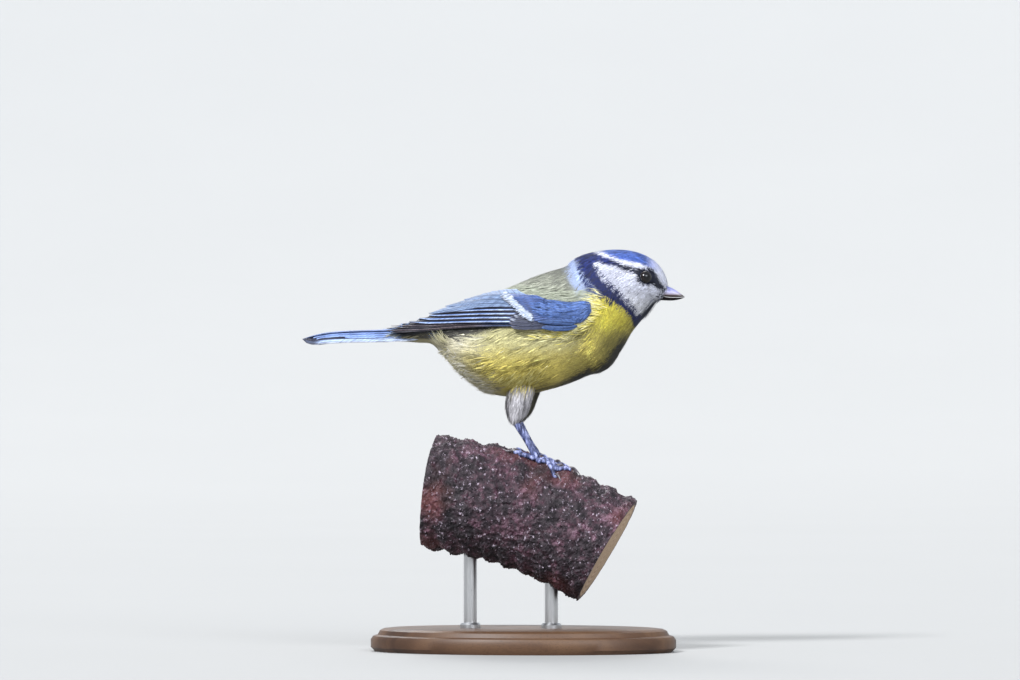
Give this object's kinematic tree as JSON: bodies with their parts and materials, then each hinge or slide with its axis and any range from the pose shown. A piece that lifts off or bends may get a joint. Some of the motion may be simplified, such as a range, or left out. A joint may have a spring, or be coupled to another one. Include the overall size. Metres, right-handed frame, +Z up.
{
  "type": "blue tit model on a perch",
  "caption": "Life-size still model of a blue tit standing on a cut length of branch, held by two rods on an oval wooden base.",
  "frame": {"origin": "centre of the model's bounding box at the underside of the base", "axes": "+X is the way the bird faces, +Y is its left side, +Z is up"},
  "size_m": [0.1149, 0.058, 0.1206],
  "materials": {
    "feather_blue": "matt barbed feather, cobalt blue",
    "feather_white": "soft white feather",
    "feather_yellow": "soft yellow feather",
    "feather_grey": "soft whitish grey feather",
    "horn": "smooth horn, satin",
    "horn_dark": "smooth dark horn, satin",
    "eye": "wet black eye",
    "scaled_skin": "blue-grey scaled skin",
    "bark": "rough bark with sawn ends",
    "stand_wood": "turned and waxed dark wood",
    "stand_steel": "brushed steel rod"
  },
  "bodies": {
    "root": {"head": "feather_white", "neck": "feather_blue", "torso": "feather_yellow", "bill_upper": "horn", "bill_lower": "horn_dark", "eye_right": "eye", "eye_left": "eye", "wing_right": "feather_blue", "wing_left": "feather_blue", "tail": "feather_blue", "thigh_right": "feather_grey", "thigh_left": "feather_grey", "shank_right": "scaled_skin", "shank_left": "scaled_skin", "foot_right": "scaled_skin", "foot_left": "scaled_skin", "perch": "bark", "stand_base": "stand_wood", "stand_rod_front": "stand_steel", "stand_rod_back": "stand_steel"}
  },
  "joints": []
}
